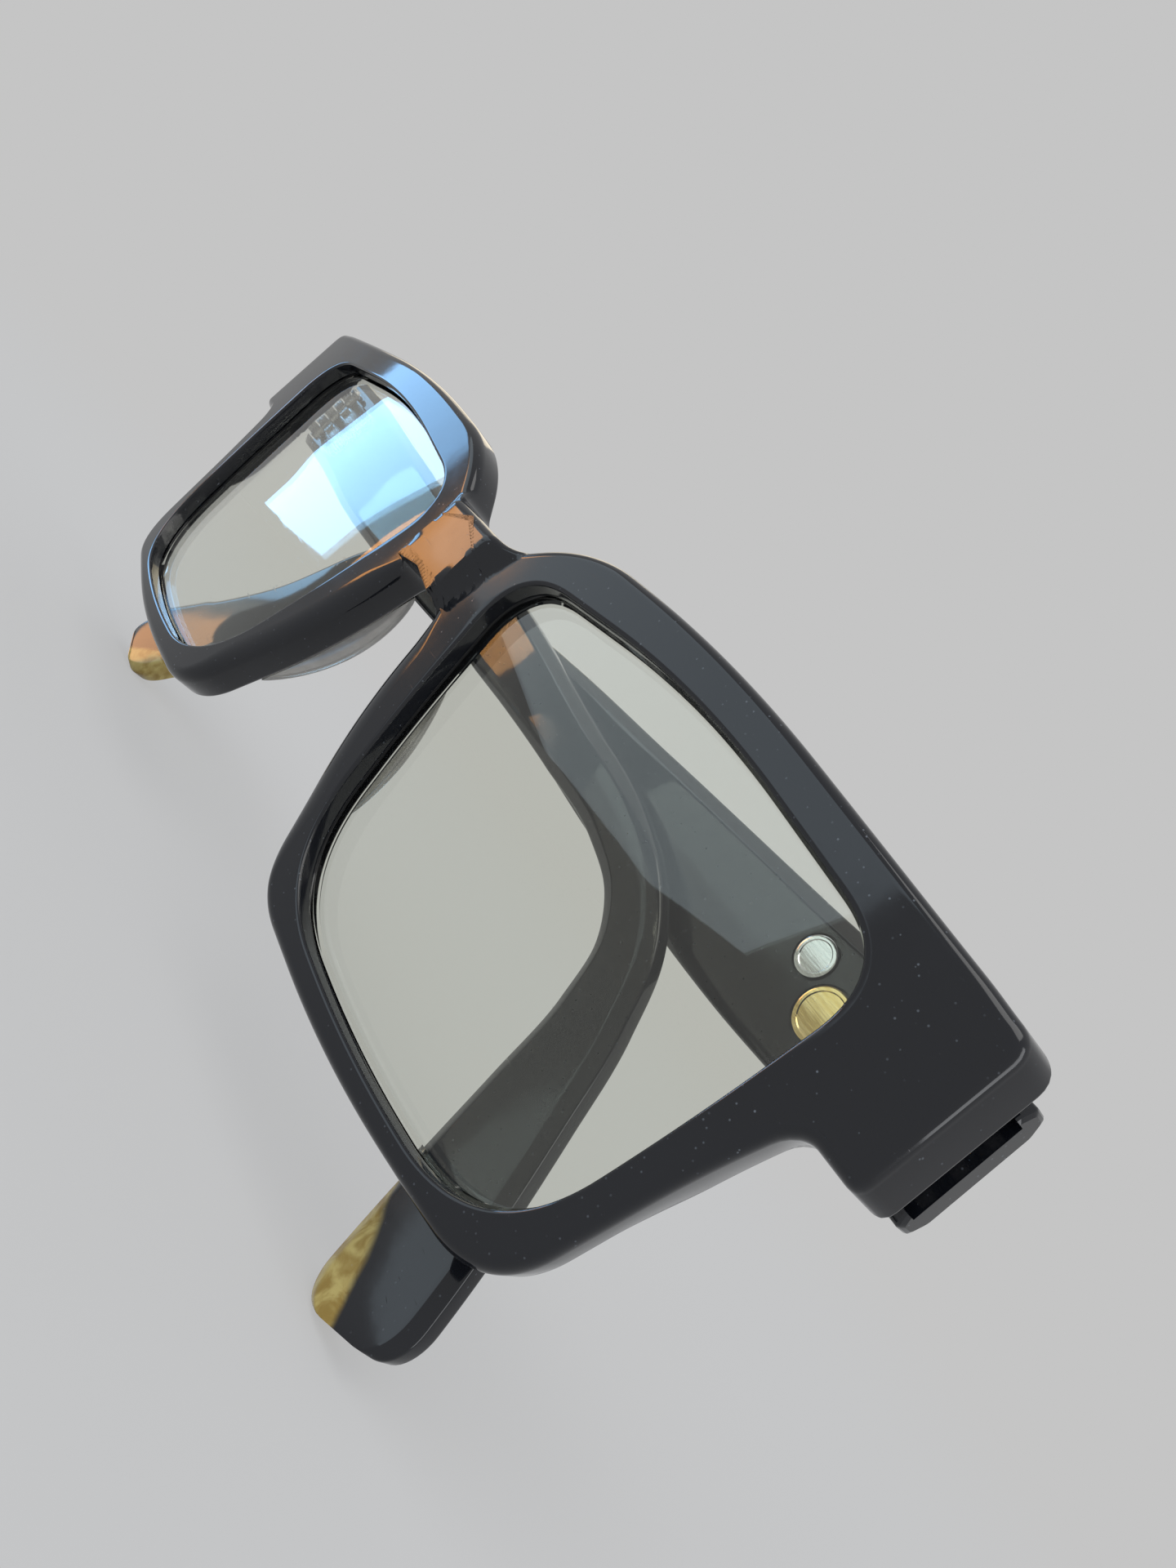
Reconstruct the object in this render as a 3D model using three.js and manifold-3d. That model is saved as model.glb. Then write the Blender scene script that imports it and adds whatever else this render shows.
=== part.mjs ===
// Full-rim acetate sunglasses with folded temples, held upright as they are worn.
// +X is the wearer's left, the lenses face -Y, +Z is the brow. Millimetres.
// Every shape of the front is drawn flat, as u across, w up and n out of the face, and then bent.
import * as THREE from 'three';
import { mergeVertices } from 'three/addons/utils/BufferGeometryUtils.js';
import Module from 'manifold-3d';

const wasm = await Module();
wasm.setup();

// ---- driving dimensions -------------------------------------------------------------------
const LENS_WIDTH = 52;        // boxed lens width
const LENS_HEIGHT = 39.4;     // boxed lens height
const BRIDGE = 20;            // gap between the two lens boxes
const TEMPLE_LENGTH = 150;    // butt to tip along the temple
const FRONT_RADIUS = 337;     // bend of the front about a vertical axis
const RIM_DEPTH = 4.4;        // front face to back face of the rim
const BROW_WIDTH = 4.9;       // rim above the lens
const SIDE_WIDTH = 3.2;       // rim beside the lens, towards the temple
const CHIN_WIDTH = 2.7;       // rim under the lens
const NOSE_WIDTH = 4.6;       // rim beside the lens, towards the nose
const BRIDGE_HEIGHT = 8.2;    // bridge bar, top to underside
const BRIDGE_RISE = 1.9;      // how far the bridge stands proud of the rims
const BRIDGE_FACET = 4.2;     // half the width of its raised flat
const ENDPIECE_REACH = 9;     // endpiece beyond the side of the rim
const ENDPIECE_HEIGHT = 15.6;
const ENDPIECE_BACK = 12.2;   // flat back of the endpiece, behind the middle of the bridge
const ENDPIECE_DRAFT = 2.4;   // the endpiece's side leans out by this much from front to back
const EDGE_ROUND = 1.1;       // rounded outer edges of the front
const NOSE_BEVEL = 1.5;       // extra width of the polished bevel beside the nose
const LENS_THICKNESS = 1.9;
const LENS_SET_BACK = 1.9;    // front of the lens behind the front of the rim
const LENS_CROWN = 0.6;       // rise of the lens at its middle
const GROOVE_DEPTH = 1.1;     // V groove that holds the lens
const LENS_CLEARANCE = 0.25;
const PAD_RISE = 3.4;         // nose pad behind the rim
const PAD_WIDTH = 3.6;
const TEMPLE_THICKNESS = 3.4;
const BUTT_THICKNESS = 4;     // temple at its hinge end
const BUTT_HEIGHT = 13;
const TIP_HEIGHT = 11.8;
const TIP_CURL = 6.4;         // the tip curls towards the head
const TEMPLE_BEVEL = 1.3;
const CORE_RADIUS = 0.7;      // wire inside the temple
const KNUCKLE_HEIGHT = 1.45;
const KNUCKLE_RADIUS = 1.35;
const LEAF_THICKNESS = 0.9;
const SCREW_RADIUS = 0.6;
const SCREW_HEAD_RADIUS = 1.15;
const SILVER_RADIUS = 1.9;    // plain discs let into the left temple
const GOLD_RADIUS = 2.5;
const FIT = 0.2;              // clearance of small fitted parts
const FOLD_LEFT = 88.1;       // degrees from open; the left temple lies over the right one
const FOLD_RIGHT = 91.6;

// ---- places worked out from them ------------------------------------------------------------
const lensNose = BRIDGE / 2;
const lensSide = lensNose + LENS_WIDTH;
const lensMiddle = (lensNose + lensSide) / 2;
const lensTop = LENS_HEIGHT / 2;
const chin = -lensTop - CHIN_WIDTH;
const brow = lensTop + BROW_WIDTH;
const rimSide = lensSide + SIDE_WIDTH;
const endpieceSide = rimSide + ENDPIECE_REACH;
const endpieceTop = brow - 3.5;
const endpieceUnder = endpieceTop - ENDPIECE_HEIGHT;
const bridgeTop = lensTop - 2.8;
const bridgeUnder = bridgeTop - BRIDGE_HEIGHT;
const flatFrom = rimSide - 0.6;   // the endpiece's back is flat from here out
const hub = new THREE.Vector2(lensMiddle, 0);
const outerFace = Math.sin(endpieceSide / FRONT_RADIUS) * (FRONT_RADIUS - RIM_DEPTH);
const hingeZ = endpieceTop - ENDPIECE_HEIGHT / 2 - 1.6;
const innerFace = 0.4;        // temple's inner face, outside the hinge axis when open
const hingeX = outerFace - BUTT_THICKNESS - innerFace;
const hingeY = ENDPIECE_BACK + 3.7;
const butt = ENDPIECE_BACK + 0.3 - hingeY;

// ---- solids ------------------------------------------------------------------------------------
function indexed(positions, triangles) {
  const geometry = new THREE.BufferGeometry();
  geometry.setAttribute('position', new THREE.Float32BufferAttribute(positions, 3));
  geometry.setIndex(triangles);
  return geometry;
}

function toSolid(geometry) {
  const bare = geometry.clone();
  bare.deleteAttribute('normal');
  bare.deleteAttribute('uv');
  const merged = mergeVertices(bare, 1e-5);
  const triVerts = new Uint32Array(merged.index.array);
  return new wasm.Manifold(new wasm.Mesh({
    numProp: 3, vertProperties: new Float32Array(merged.attributes.position.array), triVerts,
  }));
}

function toGeometry(solid) {
  const mesh = solid.getMesh();
  return indexed(Array.from(mesh.vertProperties), Array.from(mesh.triVerts));
}

function join(...geometries) {
  return toGeometry(geometries.map(toSolid).reduce((whole, part) => whole.add(part)));
}

function cut(body, ...tools) {
  return toGeometry(tools.map(toSolid).reduce((whole, tool) => whole.subtract(tool), toSolid(body)));
}

// A skin over rings of equal count. Closed rings of rings make a torus, open ones get a fan at each end.
function skin(rings, closed = false) {
  const around = rings[0].length;
  const positions = rings.flat().flatMap((p) => [p.x, p.y, p.z]);
  const triangles = [];
  const last = closed ? rings.length : rings.length - 1;
  for (let i = 0; i < last; i++) {
    const here = i * around;
    const next = ((i + 1) % rings.length) * around;
    for (let j = 0; j < around; j++) {
      const k = (j + 1) % around;
      triangles.push(here + j, next + j, next + k, here + j, next + k, here + k);
    }
  }
  if (!closed) {
    for (const [first, order] of [[0, 1], [(rings.length - 1) * around, -1]]) {
      const ring = rings[first / around];
      const middle = ring.reduce((sum, p) => sum.add(p), new THREE.Vector3()).divideScalar(around);
      const pole = positions.length / 3;
      positions.push(middle.x, middle.y, middle.z);
      for (let j = 0; j < around; j++) {
        const k = (j + 1) % around;
        triangles.push(pole, first + (order > 0 ? j : k), first + (order > 0 ? k : j));
      }
    }
  }
  return facingOut(indexed(positions, triangles));
}

function facingOut(geometry) {
  const p = geometry.attributes.position;
  const t = geometry.index.array;
  const [a, b, c] = [new THREE.Vector3(), new THREE.Vector3(), new THREE.Vector3()];
  let volume = 0;
  for (let i = 0; i < t.length; i += 3) {
    a.fromBufferAttribute(p, t[i]);
    b.fromBufferAttribute(p, t[i + 1]);
    c.fromBufferAttribute(p, t[i + 2]);
    volume += a.dot(b.cross(c));
  }
  if (volume < 0) {
    for (let i = 0; i < t.length; i += 3) {
      [t[i], t[i + 1]] = [t[i + 1], t[i]];
    }
  }
  return geometry;
}

function block(low, high) {
  const size = high.map((v, i) => v - low[i]);
  const box = new THREE.BoxGeometry(...size);
  return box.translate(...low.map((v, i) => v + size[i] / 2));
}

function upright(radius, low, high, x = 0, y = 0, sides = 16) {
  const rod = new THREE.CylinderGeometry(radius, radius, high - low, sides);
  return rod.rotateX(Math.PI / 2).translate(x, y, (low + high) / 2);
}

// ---- the front ---------------------------------------------------------------------------------
function bend(u, w, n) {
  const angle = u / FRONT_RADIUS;
  const radius = FRONT_RADIUS + n;
  return new THREE.Vector3(radius * Math.sin(angle), FRONT_RADIUS - radius * Math.cos(angle), w);
}

// A path through corners [u, w, reach], where reach is how far from the corner its curve begins.
// Two curves that would meet on the edge between them are both made smaller.
function roundedPath(corners) {
  const points = corners.map(([u, w]) => new THREE.Vector2(u, w));
  const room = (i) => points[i].distanceTo(points[i + 1]) / (corners[i][2] + corners[i + 1][2]);
  const path = new THREE.Path();
  path.moveTo(points[0].x, points[0].y);
  for (let i = 1; i < points.length - 1; i++) {
    const reach = corners[i][2] * Math.min(1, 0.98 * room(i - 1), 0.98 * room(i));
    const before = points[i - 1].clone().sub(points[i]).setLength(reach).add(points[i]);
    const after = points[i + 1].clone().sub(points[i]).setLength(reach).add(points[i]);
    path.lineTo(before.x, before.y);
    path.quadraticCurveTo(points[i].x, points[i].y, after.x, after.y);
  }
  path.lineTo(points.at(-1).x, points.at(-1).y);
  return path;
}

// The lens opening: nose corner, brow, side, chin, each a share of the lens box.
function lensOutline() {
  const at = (across, up, reach) => [lensNose + across * LENS_WIDTH, up * LENS_HEIGHT, reach * LENS_HEIGHT];
  const corners = [
    at(0.045, 0, 0.15), at(-0.03, 0.43, 0.19), at(0.47, 0.523, 0.3), at(1.012, 0.445, 0.18),
    at(0.99, 0, 0.2), at(0.945, -0.47, 0.28), at(0.56, -0.505, 0.23), at(0.155, -0.465, 0.27),
  ];
  const onNose = (k) => THREE.MathUtils.lerp(corners[7][k], corners[0][k], 0.63);
  const start = [onNose(0), onNose(1), 0];
  return roundedPath([start, ...corners, start]);
}

// The outer outline of the left half, from the top of the bridge round to its underside.
function frontOutline() {
  const noseWall = lensNose - NOSE_WIDTH;
  return roundedPath([
    [0, bridgeTop, 0],
    [noseWall, bridgeTop, 1.6],
    [lensNose + 3, brow - 1.4, 6],
    [lensMiddle - 2, brow + 0.1, 12],
    [endpieceSide - 8, endpieceTop + 0.6, 6],
    [endpieceSide, endpieceTop, 2.4],
    [endpieceSide, endpieceUnder, 1.4],
    [rimSide + 1.4, endpieceUnder, 2.4],
    [rimSide - 0.6, -2, 5],
    [rimSide - 3.6, chin + 2.2, 6.5],
    [lensMiddle + 2, chin - 0.1, 10],
    [lensNose + 7.6, chin + 1.2, 5.5],
    [noseWall + 2.4, -4.5, 8],
    [noseWall - 0.9, bridgeUnder, 2.2],
    [0, bridgeUnder, 0],
  ]);
}

// Points that face each other across the rim, from the top of the bridge round to its underside:
// on the outer outline, on the lens opening, and the number of steps that lead there.
function stations() {
  const noseWall = lensNose - NOSE_WIDTH;
  return [
    [0, bridgeTop, lensNose, bridgeTop - 5, 0],
    [noseWall, bridgeTop, lensNose, bridgeTop - 3.5, 3],
    [lensNose + 3, brow - 1.4, lensNose + 2.5, lensTop - 1.5, 8],
    [endpieceSide - 8, endpieceTop + 0.6, lensSide - 4, lensTop - 1.3, 15],
    [endpieceSide, endpieceTop, lensSide, lensTop - 6, 8],
    [endpieceSide, endpieceUnder, lensSide, endpieceUnder + 3.6, 5],
    [rimSide + 1.4, endpieceUnder, lensSide, endpieceUnder - 1.2, 7],
    [rimSide - 2.6, chin + 8, lensSide - 1.8, 7 - lensTop, 8],
    [lensSide - 6, chin + 0.6, lensSide - 8, 0.4 - lensTop, 9],
    [lensNose + 13, chin + 0.5, lensNose + 13, 0.5 - lensTop, 9],
    [lensNose + 3.4, chin + 7, lensNose + 5, 7.5 - lensTop, 9],
    [noseWall - 0.9, bridgeUnder, lensNose, bridgeUnder - 4, 9],
    [0, bridgeUnder, lensNose, bridgeUnder - 2, 3],
  ];
}

function nearestShare(path, u, w) {
  const target = new THREE.Vector2(u, w);
  let best = 0;
  let least = Infinity;
  for (let i = 0; i <= 800; i++) {
    const away = path.getPointAt(i / 800).distanceTo(target);
    if (away < least) {
      least = away;
      best = i / 800;
    }
  }
  return best;
}

// A point of an outline and the direction to its left.
function beside(path, at) {
  const tangent = path.getTangentAt(at % 1);
  return { point: path.getPointAt(at % 1), left: new THREE.Vector2(-tangent.y, tangent.x) };
}

function share(value, from, to) {
  return THREE.MathUtils.smoothstep(value, from, to);
}

// Depth of the back face: an even rim, and a truly flat back on the endpiece.
function backFace(u) {
  const flat = (FRONT_RADIUS - ENDPIECE_BACK) / Math.cos(u / FRONT_RADIUS) - FRONT_RADIUS;
  return THREE.MathUtils.lerp(-RIM_DEPTH, flat, share(u, rimSide - 2, flatFrom));
}

// One section through the rim, from the lens opening out to the wall and back round the groove.
function rimSection(inner, wall, inward, rounding) {
  const draft = ENDPIECE_DRAFT * share(wall.x, rimSide + 1, endpieceSide - 1);
  const nearNose = 1 - share(wall.x, lensNose + 2, lensNose + 9);
  const underBridge = 1 - share(wall.y, bridgeUnder - 6, bridgeUnder);
  const bevel = rounding * (EDGE_ROUND + NOSE_BEVEL * nearNose * underBridge);
  const move = (inset, lean) => {
    const moved = wall.clone().addScaledVector(inward, inset);
    moved.x -= draft * lean;
    return moved;
  };
  const place = (spot, n) => bend(spot.x, spot.y, n);
  const faceEdge = move(bevel, 1);
  const shoulder = move(0.3 * bevel, 0.9);
  const side = move(0, 0.75);
  const lower = move(0, 0.1);
  const heel = move(0.5 * rounding * EDGE_ROUND, 0);
  const toFlat = (flatFrom - inner.point.x) / Math.max(heel.x - inner.point.x, 0.1);
  const behind = inner.point.clone().lerp(heel, THREE.MathUtils.clamp(toFlat, 0.1, 0.9));
  const bottom = inner.point.clone().addScaledVector(inner.left, GROOVE_DEPTH);
  const grooveMiddle = -LENS_SET_BACK - LENS_THICKNESS / 2;
  const mouth = LENS_THICKNESS / 2 + 0.1;
  return [
    place(inner.point, 0),
    place(inner.point.clone().lerp(faceEdge, 0.5), 0),
    place(faceEdge, 0),
    place(shoulder, -0.45 * EDGE_ROUND),
    place(side, -1.3 * EDGE_ROUND),
    place(lower, backFace(lower.x) + 0.5 * EDGE_ROUND),
    place(heel, backFace(heel.x)),
    place(behind, backFace(behind.x)),
    place(inner.point, backFace(inner.point.x)),
    place(inner.point, grooveMiddle - mouth),
    place(bottom, grooveMiddle),
    place(inner.point, grooveMiddle + mouth),
  ];
}

function halfFront() {
  const outline = frontOutline();
  const opening = lensOutline();
  const ends = stations();
  const places = ends.map(([u, w, innerU, innerW], i) => {
    const outer = i === 0 ? 0 : i === ends.length - 1 ? 1 : nearestShare(outline, u, w);
    return [outer, nearestShare(opening, innerU, innerW) + (i > ends.length - 3 ? 1 : 0)];
  });
  const sections = [];
  for (let i = 1; i < ends.length; i++) {
    const steps = ends[i][4];
    for (let j = i === 1 ? 0 : 1; j <= steps; j++) {
      const [outer, inner] = [0, 1].map((k) => THREE.MathUtils.lerp(places[i - 1][k], places[i][k], j / steps));
      const wall = beside(outline, outer === 1 ? 1 - 1e-9 : outer);
      sections.push(rimSection(beside(opening, inner), wall.point, wall.left.negate(), 1));
    }
  }
  const [below, above] = [places.at(-1)[1] - 1, places[0][1]];
  for (const up of [0.25, 0.5, 0.75]) {
    const seam = new THREE.Vector2(0, THREE.MathUtils.lerp(bridgeUnder, bridgeTop, up));
    const inner = beside(opening, THREE.MathUtils.lerp(below, above, up));
    sections.push(rimSection(inner, seam, new THREE.Vector2(0, 1), 0));
  }
  return skin(sections, true);
}

// The raised middle of the bridge: a flat whose sides slope down to the rims, further out at the top.
function bridgeSaddle() {
  const corner = (w, n) => {
    const foot = BRIDGE_FACET + 0.7 + 2.4 * (w - bridgeUnder) / BRIDGE_HEIGHT;
    return THREE.MathUtils.lerp(foot, BRIDGE_FACET, Math.max(n, 0) / BRIDGE_RISE);
  };
  const levels = [
    [-1.2, 0.2], [0, 0.2], [BRIDGE_RISE - 0.8, 0.25], [BRIDGE_RISE - 0.25, 0.5], [BRIDGE_RISE, 1.1],
  ];
  return skin(levels.map(([n, inset]) => {
    const [low, high] = [bridgeUnder + inset, bridgeTop - inset];
    const ring = [];
    for (const across of [-1, -0.5, 0, 0.5, 1]) {
      ring.push(bend(across * corner(low, n), low, n));
    }
    for (const across of [1, 0.5, 0, -0.5, -1]) {
      ring.push(bend(across * corner(high, n), high, n));
    }
    return ring;
  }));
}

function mirrored(geometry) {
  return facingOut(geometry.clone().scale(-1, 1, 1));
}

// Space for the front hinge leaf in the back of the endpiece.
function leafPocket() {
  const { plate, anchor } = frontLeafBlocks(FIT);
  return join(block(...plate), block(...anchor));
}

function frontFrame() {
  const left = halfFront();
  const pocket = leafPocket();
  const whole = join(left, mirrored(left), bridgeSaddle());
  return cut(whole, pocket, mirrored(pocket));
}

// ---- lenses and nose pads ------------------------------------------------------------------------
function lens() {
  const around = 56;
  const opening = lensOutline();
  const front = -LENS_SET_BACK;
  const back = front - LENS_THICKNESS;
  const ridge = GROOVE_DEPTH - LENS_CLEARANCE - 0.1;
  const ring = (size, out, n) => {
    const points = [];
    for (let i = 0; i < around; i++) {
      const { point, left } = beside(opening, i / around);
      const spot = point.sub(hub).multiplyScalar(size).add(hub).addScaledVector(left, out);
      points.push(bend(spot.x, spot.y, n + LENS_CROWN * (1 - size * size)));
    }
    return points;
  };
  const edge = -LENS_CLEARANCE;
  return skin([
    ring(0.3, 0, front), ring(0.65, 0, front), ring(1, edge, front),
    ring(1, ridge, (front + back) / 2),
    ring(1, edge, back), ring(0.65, 0, back), ring(0.3, 0, back),
  ]);
}

// A built-up pad along the nose wall, behind the rim.
function nosePad() {
  const outline = frontOutline();
  const onNose = [];
  for (let i = 0; i <= 400; i++) {
    const spot = outline.getPointAt(i / 400);
    if (spot.x < lensNose + 8 && spot.y < bridgeUnder - 2.5 && spot.y > bridgeUnder - 22) {
      onNose.push(i / 400);
    }
  }
  const [first, last] = [Math.min(...onNose), Math.max(...onNose)];
  const steps = 14;
  const rings = [];
  for (let i = 0; i <= steps; i++) {
    const at = THREE.MathUtils.lerp(first, last, i / steps);
    const wall = outline.getPointAt(at);
    const tangent = outline.getTangentAt(at);
    const inward = new THREE.Vector2(tangent.y, -tangent.x);
    const swell = Math.max(Math.sin(Math.PI * i / steps), 0.08) ** 0.6;
    const rise = PAD_RISE * swell;
    const width = PAD_WIDTH * (0.45 + 0.55 * swell);
    const base = -RIM_DEPTH - FIT;
    const section = [
      [0.5, 0], [0.25, 0.35], [0.5, 0.75], [1.1, 0.97],
      [1.9, 0.95], [2.8, 0.62], [PAD_WIDTH, 0.2], [PAD_WIDTH, 0],
    ];
    rings.push(section.map(([inset, deep]) => {
      const spot = wall.clone().addScaledVector(inward, inset * width / PAD_WIDTH + 0.3);
      return bend(spot.x, spot.y, base - deep * rise - (deep ? 0.1 : 0));
    }));
  }
  return skin(rings);
}

// ---- hinges: five knuckles on one screw --------------------------------------------------------------
function knuckleBand(index) {
  const pitch = KNUCKLE_HEIGHT + FIT;
  const low = hingeZ + (index - 2) * pitch - KNUCKLE_HEIGHT / 2;
  return [low, low + KNUCKLE_HEIGHT];
}

const hingeLow = knuckleBand(0)[0];
const hingeHigh = knuckleBand(4)[1];

function frontLeafBlocks(grow = 0) {
  const back = ENDPIECE_BACK;
  const plate = [
    [hingeX - 3.4 - grow, back - LEAF_THICKNESS - 0.05 - grow, hingeLow - grow],
    [hingeX + 1.2 + grow, back - 0.05 + grow, hingeHigh + grow],
  ];
  const anchor = [
    [hingeX - 2.8 - grow, back - 2.4 - grow, hingeZ - 1.4 - grow],
    [hingeX - 1.2 + grow, back - 0.5, hingeZ + 1.4 + grow],
  ];
  return { plate, anchor };
}

function bored(leaf, x, y) {
  return cut(leaf, upright(SCREW_RADIUS + FIT / 2, hingeLow - 1, hingeHigh + 1, x, y));
}

function frontLeaf() {
  const { plate, anchor } = frontLeafBlocks();
  const parts = [block(...plate), block(...anchor)];
  for (const index of [0, 2, 4]) {
    const [low, high] = knuckleBand(index);
    parts.push(upright(KNUCKLE_RADIUS, low, high, hingeX, hingeY, 20));
    parts.push(block([hingeX - 0.6, ENDPIECE_BACK - 0.5, low], [hingeX + 0.6, hingeY - 0.5, high]));
  }
  return bored(join(...parts), hingeX, hingeY);
}

// Shapes on the temple are drawn open, from the hinge axis: x outwards, y back along the temple.
function templeLeafBlocks(grow = 0) {
  const outer = innerFace + 0.4;
  const plate = [
    [outer - LEAF_THICKNESS - grow, KNUCKLE_RADIUS + 0.5 - grow, hingeLow - grow],
    [outer + grow, 8.6 + grow, hingeHigh + grow],
  ];
  const anchor = [
    [outer - 0.3, 4.2 - grow, hingeZ - 1.4 - grow],
    [outer + 0.8 + grow, 6.6 + grow, hingeZ + 1.4 + grow],
  ];
  return { plate, anchor };
}

function templeLeaf() {
  const { plate, anchor } = templeLeafBlocks();
  const parts = [block(...plate), block(...anchor)];
  for (const index of [1, 3]) {
    const [low, high] = knuckleBand(index);
    parts.push(upright(KNUCKLE_RADIUS, low, high, 0, 0, 20));
    parts.push(block([-0.6, 0.5, low], [0.6, KNUCKLE_RADIUS + 1, high]));
  }
  return bored(join(...parts), 0, 0);
}

function screw() {
  const head = SCREW_HEAD_RADIUS;
  const profile = [
    [0, hingeLow - 0.3], [SCREW_RADIUS, hingeLow - 0.3], [SCREW_RADIUS, hingeHigh + FIT],
    [head, hingeHigh + FIT], [head, hingeHigh + 0.7], [head - 0.3, hingeHigh + 1], [0, hingeHigh + 1],
  ].map(([r, z]) => new THREE.Vector2(r, z));
  const body = new THREE.LatheGeometry(profile, 16).rotateX(Math.PI / 2);
  const slot = block([-head, -0.16, hingeHigh + 0.6], [head, 0.16, hingeHigh + 2]);
  return cut(facingOut(mergeVertices(bare(body), 1e-5)), slot);
}

function bare(geometry) {
  geometry.deleteAttribute('normal');
  geometry.deleteAttribute('uv');
  return geometry;
}

// ---- temples ------------------------------------------------------------------------------------------
// Middle line of the temple in its own plane: y back from the hinge, z up. It droops to a sharp ear bend.
function templeLine() {
  const start = hingeZ + 0.6;
  const back = (y) => butt + y * TEMPLE_LENGTH / 150;
  const spots = [
    [0, start], [8, start - 0.1], [24, start - 1.2], [48, start - 1.9], [68, start - 2.1],
    [88, start - 3.3], [100.5, start - 4.4], [107.5, start - 6.6], [112.5, start - 10.6], [115.4, start - 16.2], [118.4, start - 24.4],
    [122.2, start - 33], [127.4, start - 43.6],
  ];
  const points = spots.map(([y, z]) => new THREE.Vector3(0, back(y), z));
  return new THREE.CatmullRomCurve3(points, false, 'centripetal');
}

// Height of the temple at a share of its length.
function templeHeight(at) {
  const waist = 5.6;
  const toWaist = THREE.MathUtils.lerp(BUTT_HEIGHT, waist, share(at, 0.12, 0.72));
  return THREE.MathUtils.lerp(toWaist, TIP_HEIGHT, share(at, 0.7, 0.98));
}

function templeSection(line, at, tip) {
  const spot = line.getPointAt(at);
  const tangent = line.getTangentAt(at);
  const up = new THREE.Vector3(0, -tangent.z, tangent.y);
  const half = templeHeight(at) / 2 * tip;
  const thin = share(at, 0, 0.16);
  const outer = innerFace + THREE.MathUtils.lerp(BUTT_THICKNESS, TEMPLE_THICKNESS, thin);
  const curl = TIP_CURL * share(at, 0.8, 1.2) / share(1, 0.8, 1.2);
  const bevel = Math.min(TEMPLE_BEVEL, half * 0.45);
  const shallow = 0.62 * bevel;
  const face = [
    [innerFace, half - bevel], [innerFace + shallow, half], [outer - shallow, half], [outer, half - bevel],
    [outer, bevel - half], [outer - shallow, -half], [innerFace + shallow, -half], [innerFace, bevel - half],
  ];
  return face.map(([x, z]) => {
    const point = spot.clone().addScaledVector(up, z);
    point.x = x - curl;
    return point;
  });
}

function templeBody() {
  const line = templeLine();
  const steps = 48;
  const roundEnd = 3.4 / TEMPLE_LENGTH;
  const rings = [];
  for (let i = 0; i <= steps; i++) {
    rings.push(templeSection(line, (i / steps) * (1 - roundEnd), 1));
  }
  for (const turn of [0.3, 0.6, 0.85, 1]) {
    const out = Math.sin(turn * Math.PI / 2);
    const tip = THREE.MathUtils.lerp(0.6, 1, Math.cos(turn * Math.PI / 2));
    rings.push(templeSection(line, 1 - roundEnd + out * roundEnd, tip));
  }
  return skin(rings);
}

// A wire along the temple's middle line, from past the butt to short of the tip.
function wire(radius, from, to) {
  const line = templeLine();
  const middle = innerFace + TEMPLE_THICKNESS / 2 + 0.5;
  const spots = [];
  for (let i = 0; i <= 24; i++) {
    const spot = line.getPointAt(THREE.MathUtils.lerp(Math.max(from, 0), to, i / 24));
    spots.push(new THREE.Vector3(middle, spot.y, spot.z));
  }
  if (from < 0) {
    spots.unshift(spots[0].clone().setY(butt - 2));
  }
  const round = new THREE.Shape().absarc(0, 0, radius, 0, 2 * Math.PI);
  const path = new THREE.CatmullRomCurve3(spots, false, 'centripetal');
  const tube = new THREE.ExtrudeGeometry(round, {
    steps: 44, curveSegments: 4, bevelEnabled: false, extrudePath: path,
  });
  return facingOut(mergeVertices(bare(tube), 1e-5));
}

function disc(radius, y, z, inset, proud, grow) {
  const plate = new THREE.CylinderGeometry(radius + grow, radius + grow, inset + proud, 32);
  return plate.rotateZ(Math.PI / 2).translate(innerFace + (inset - proud) / 2, y, z);
}

const silverSpot = [SILVER_RADIUS, 16.8, hingeZ + 2.2];
const goldSpot = [GOLD_RADIUS, 12.4, hingeZ - 0.5];

function temple(withDiscs) {
  const { plate, anchor } = templeLeafBlocks(FIT);
  plate[0][0] = -2;
  const swing = KNUCKLE_RADIUS + 0.3;
  const notch = block(
    [-2, butt - 1, hingeLow - 0.6],
    [swing, swing + FIT, hingeHigh + 1.3],
  );
  const tools = [join(notch, block(...plate), block(...anchor)), wire(CORE_RADIUS + FIT, -1, 0.68)];
  if (withDiscs) {
    tools.push(disc(...silverSpot, 0.5, 1, FIT), disc(...goldSpot, 0.5, 1, FIT));
  }
  return cut(templeBody(), ...tools);
}

// ---- the assembly -----------------------------------------------------------------------------------------
const gloss = (color, roughness = 0.12) => new THREE.MeshStandardMaterial({ color, roughness, metalness: 0 });
const metal = (color, roughness = 0.3) => new THREE.MeshStandardMaterial({ color, roughness, metalness: 1 });
const acetate = () => gloss(0x0b0c10);
const tint = () => new THREE.MeshStandardMaterial({
  color: 0x8a8f78, roughness: 0.03, metalness: 0, transparent: true, opacity: 0.35,
});

function named(name, geometry, material) {
  const mesh = new THREE.Mesh(geometry, material);
  mesh.name = name;
  return mesh;
}

function hinged(fold) {
  const swing = new THREE.Group();
  swing.position.set(hingeX, hingeY, 0);
  swing.rotation.z = THREE.MathUtils.degToRad(fold);
  return swing;
}

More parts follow.
